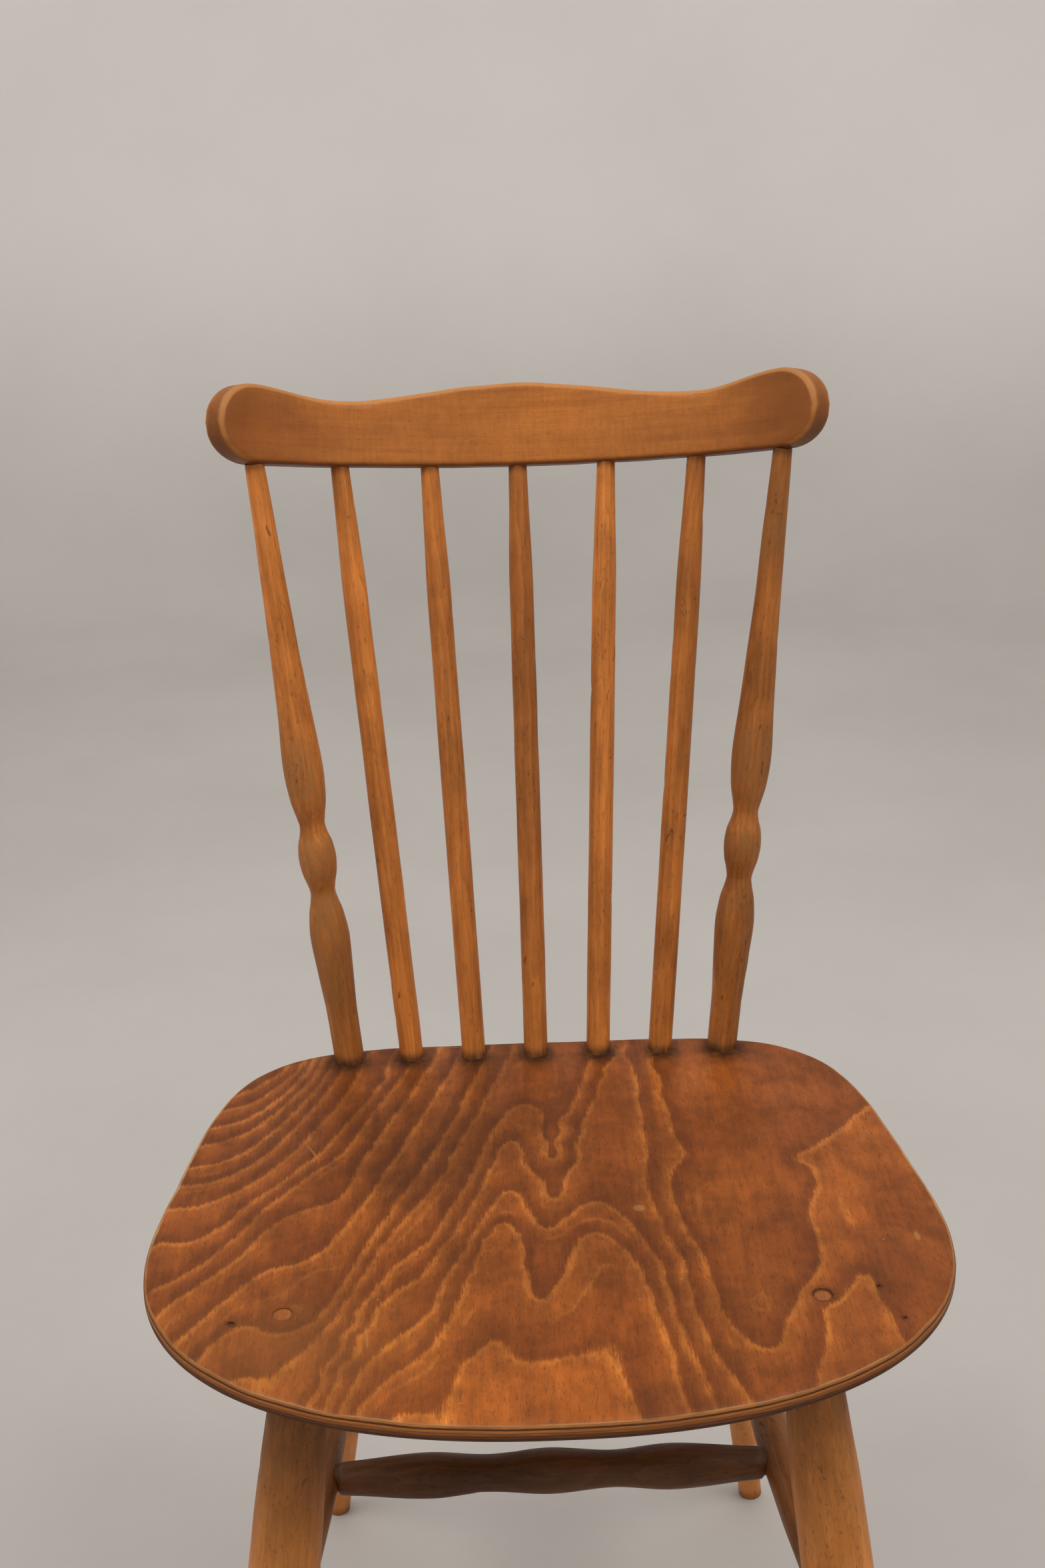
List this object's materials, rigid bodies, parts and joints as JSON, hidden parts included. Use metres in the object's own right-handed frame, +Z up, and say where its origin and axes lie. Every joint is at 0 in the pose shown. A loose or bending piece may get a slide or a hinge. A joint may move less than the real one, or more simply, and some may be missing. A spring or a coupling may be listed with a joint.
{
  "type": "dining chair",
  "caption": "Spindle-back dining chair: plywood seat, bent crest rail with humped top, turned outer back posts, splayed turned legs and an H stretcher.",
  "frame": {"origin": "on the floor, under the middle of the whole chair", "axes": "+Z up, the chair faces -Y, +X is to the right as seen from the front"},
  "size_m": [0.4246, 0.4693, 0.8542],
  "materials": {
    "seat_veneer": "stained rotary-cut veneer, worn satin varnish, plies showing at the edge",
    "back_wood": "orange-brown stained beech, worn satin varnish",
    "leg_wood": "honey-brown stained beech, worn satin varnish",
    "stretcher_wood": "brown stained beech, satin varnish",
    "batten_wood": "plain unvarnished beech",
    "plug_wood": "end-grain wooden plug, darkened",
    "screw_steel": "plain steel wood screw"
  },
  "bodies": {
    "root": {"seat_panel": "seat_veneer", "screw_plugs": "plug_wood", "seat_screws": "screw_steel", "front_batten": "batten_wood", "rear_batten": "batten_wood", "crest_rail": "back_wood", "back_post_left": "back_wood", "back_post_right": "back_wood", "spindle_1": "back_wood", "spindle_2": "back_wood", "spindle_3": "back_wood", "spindle_4": "back_wood", "spindle_5": "back_wood", "front_leg_left": "leg_wood", "front_leg_right": "leg_wood", "rear_leg_left": "leg_wood", "rear_leg_right": "leg_wood", "side_stretcher_left": "stretcher_wood", "side_stretcher_right": "stretcher_wood", "cross_stretcher": "stretcher_wood"}
  },
  "joints": []
}
